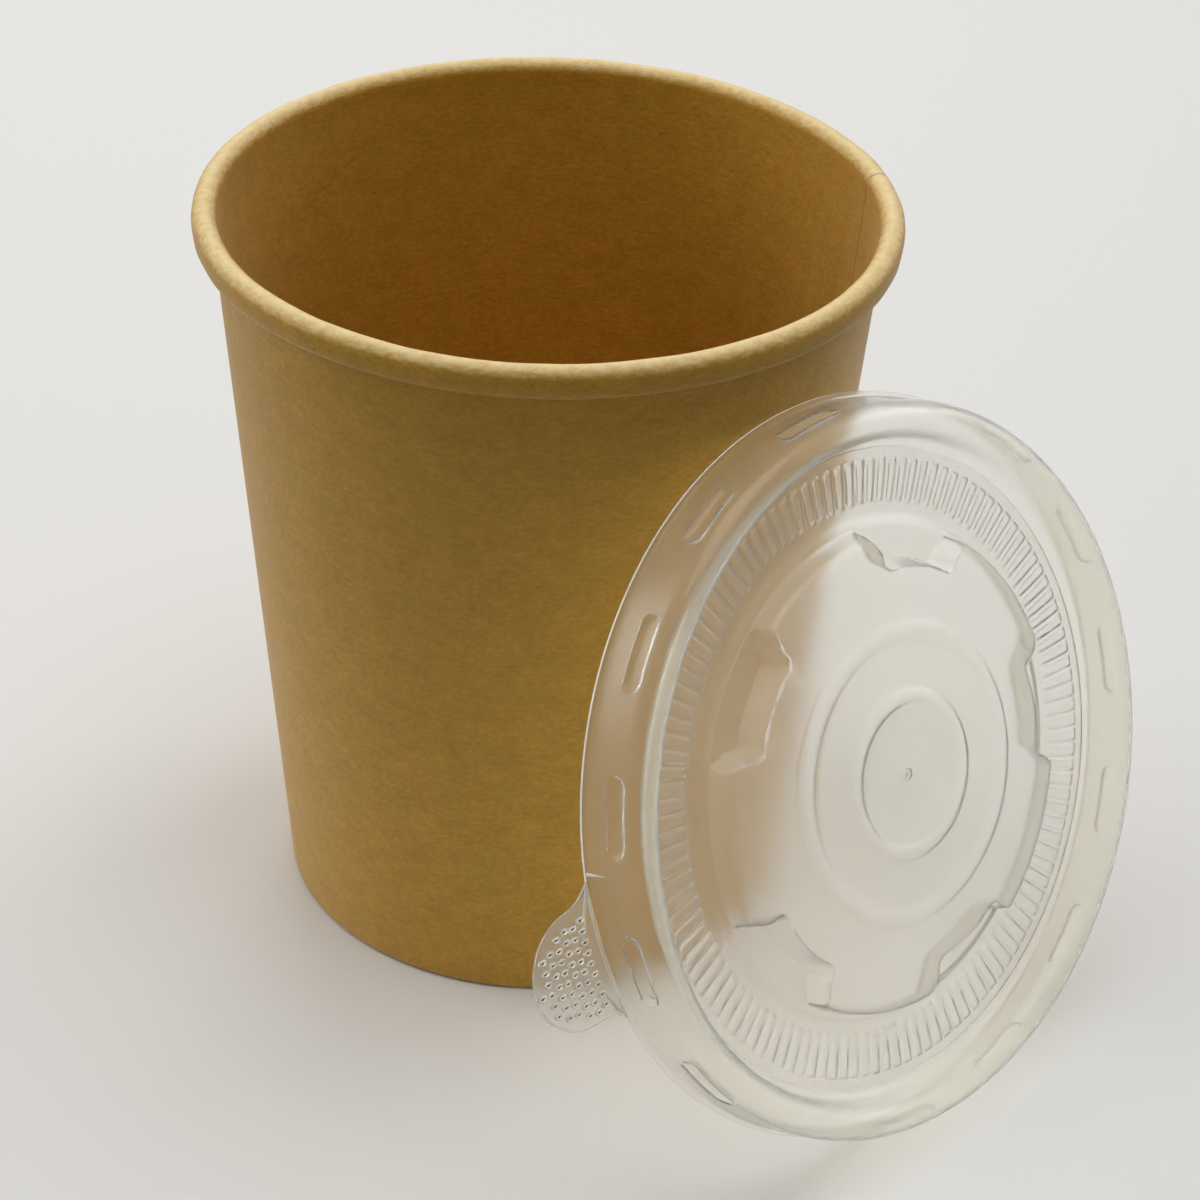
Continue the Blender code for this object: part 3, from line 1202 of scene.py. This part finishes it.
    def build(self) -> None:
        """Model every piece and lean it on the cup."""
        self.pieces = [self.build_rim(), self.build_panel(), self.build_tab(), self.build_grips(), self.build_tear()]
        placing = (
            Matrix.Translation(Vector(self.centre) * MM)
            @ Matrix.Rotation(math.radians(self.yaw + 90.0), 4, "Z")
            @ Matrix.Rotation(math.radians(90.0 - self.lean), 4, "X")
        )
        for piece in self.pieces:
            piece.data.transform(placing)
            smooth(piece, 44.0)

    def dress(self) -> None:
        """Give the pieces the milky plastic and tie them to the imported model."""
        plastic = MilkyPlastic().material()
        clearer = MilkyPlastic("clear_plastic", transmission=0.93).material()
        white = MilkyPlastic(
            "stretched_plastic",
            colour=(0.97, 0.965, 0.95),
            cloud=(0.95, 0.94, 0.92),
            roughness=0.5,
            transmission=0.0,
            ior=1.33,
            scatter=0.0,
            lets_through=0.0,
        ).material()
        for piece in self.pieces:
            piece.data.materials.clear()
            finish = {"lid_tear_edge": white, "lid_rim": clearer}.get(piece.name, plastic)
            piece.data.materials.append(finish)
            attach(piece, "root")
            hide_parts("lid")


# --------------------------------------------------------------------------------------------------------------
# The studio
# --------------------------------------------------------------------------------------------------------------


@dataclass(frozen=True)
class Lamp:
    """A soft square lamp."""

    name: str
    place: tuple[float, float, float]
    aim: tuple[float, float, float]
    width: float
    power: float
    colour: Colour = (1.0, 1.0, 1.0)

    def hang(self) -> bpy.types.Object:
        """Add the lamp to the scene."""
        light = bpy.data.lights.new(self.name, "AREA")
        light.shape = "SQUARE"
        light.size = self.width
        light.energy = self.power
        light.color = self.colour
        lamp = bpy.data.objects.new(self.name, light)
        lamp.location = self.place
        lamp.rotation_euler = (Vector(self.aim) - Vector(self.place)).to_track_quat("-Z", "Y").to_euler()
        bpy.context.scene.collection.objects.link(lamp)
        return lamp


@dataclass
class Studio:
    """Pale floor that rises into a backdrop, soft light and the camera."""

    cup_axis: tuple[float, float]
    distance: float = 470.8
    eye_height: float = 360.8
    yaw: float = 0.02266
    pitch: float = 0.58036
    roll: float = 0.03619
    lens: float = 95.13
    world_light: float = 0.22
    world_seen: float = 0.78
    glossy_share: float = 0.3

    def build_sheet(self) -> bpy.types.Object:
        """Model the floor with its back edge swept up into a wall."""
        clear_selection()
        bpy.ops.mesh.primitive_plane_add(size=2.4, location=(0.0, 0.0, -0.0004))
        sheet = bpy.context.object
        sheet.name = "floor_sheet"
        bpy.ops.object.transform_apply(location=True, rotation=False, scale=False)
        bpy.ops.object.mode_set(mode="EDIT")
        pick(sheet, Part.EDGE, lambda edge: all(vert.co.y > 1.0 for vert in edge.verts))
        for step in range(1, 13):
            turn = math.radians(7.5 * step - 3.75)
            move = (0.0, 0.078 * math.cos(turn), 0.078 * math.sin(turn))
            bpy.ops.mesh.extrude_region_move(TRANSFORM_OT_translate={"value": move})
        bpy.ops.mesh.extrude_region_move(TRANSFORM_OT_translate={"value": (0.0, 0.0, 1.2)})
        bpy.ops.object.mode_set(mode="OBJECT")
        smooth(sheet, 40.0)
        finish = StageFinish("pale_sheet", (0.845, 0.84, 0.825))
        sheet.data.materials.append(finish.material())
        return sheet

    def light(self) -> None:
        """Set the even room light and hang the lamps."""
        world = bpy.data.worlds.new("room")
        bpy.context.scene.world = world
        world.use_nodes = True
        wire = Wiring(world.node_tree)
        back = world.node_tree.nodes["Background"]
        back.inputs["Color"].default_value = (1.0, 0.995, 0.98, 1.0)
        path = wire.node("ShaderNodeLightPath")
        seen = wire.math("MAXIMUM", path.outputs["Is Camera Ray"], path.outputs["Is Transmission Ray"])
        seen = wire.math("MAXIMUM", seen, wire.math("MULTIPLY", path.outputs["Is Glossy Ray"], self.glossy_share))
        strength = wire.math("MULTIPLY_ADD", seen, self.world_seen - self.world_light, self.world_light)
        wire.feed(back.inputs["Strength"], strength)
        aim = (0.0, 0.0, 0.06)
        Lamp("top_panel", (0.0, 0.05, 1.5), aim, 1.1, 9.5).hang()
        Lamp("left_window", (-1.25, 0.35, 0.55), aim, 0.8, 6.6, (1.0, 0.985, 0.95)).hang()
        Lamp("right_panel", (1.1, 0.75, 0.8), aim, 0.8, 4.5).hang()
        Lamp("back_panel", (-0.1, 1.45, 0.95), aim, 1.0, 5.0).hang()

    def camera(self) -> None:
        """Place the camera, looking a little down on the cup."""
        ahead = math.cos(self.pitch)
        forward = Vector((math.sin(self.yaw) * ahead, math.cos(self.yaw) * ahead, -math.sin(self.pitch)))
        right = Vector((math.cos(self.yaw), -math.sin(self.yaw), 0.0))
        above = right.cross(forward)
        level = math.cos(self.roll) * right + math.sin(self.roll) * above
        head = math.cos(self.roll) * above - math.sin(self.roll) * right
        data = bpy.data.cameras.new("camera")
        data.lens = self.lens
        data.sensor_width = 36.0
        data.clip_start = 0.01
        data.clip_end = 20.0
        camera = bpy.data.objects.new("camera", data)
        turn = Matrix((level, head, -forward)).transposed().to_4x4()
        place = Vector((self.cup_axis[0], self.cup_axis[1] - self.distance, self.eye_height)) * MM
        camera.matrix_world = Matrix.Translation(place) @ turn
        bpy.context.scene.collection.objects.link(camera)
        bpy.context.scene.camera = camera

    def build(self) -> None:
        """Set up the sheet, the light and the camera."""
        self.build_sheet()
        self.light()
        self.camera()
        bpy.context.scene.view_settings.view_transform = "Standard"


def main() -> None:
    """Build the cup, its lid and the studio, and report every piece."""
    logging.basicConfig(level=logging.INFO, format="%(name)s: %(message)s")
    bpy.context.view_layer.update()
    low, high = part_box("cup_wall")
    axis = ((low[0] + high[0]) / 2.0 / MM, (low[1] + high[1]) / 2.0 / MM)
    studio = Studio(axis)
    studio.build()
    cup = PaperCup(axis)
    lid = SnapLid((axis[0] + 51.71, axis[1] - 54.71, 57.02))
    for assembly in (cup, lid):
        assembly.build()
        assembly.dress()
        for piece in assembly.pieces:
            LOG.info("%s: %d faces", piece.name, len(piece.data.polygons))


if __name__ == "__main__":
    main()
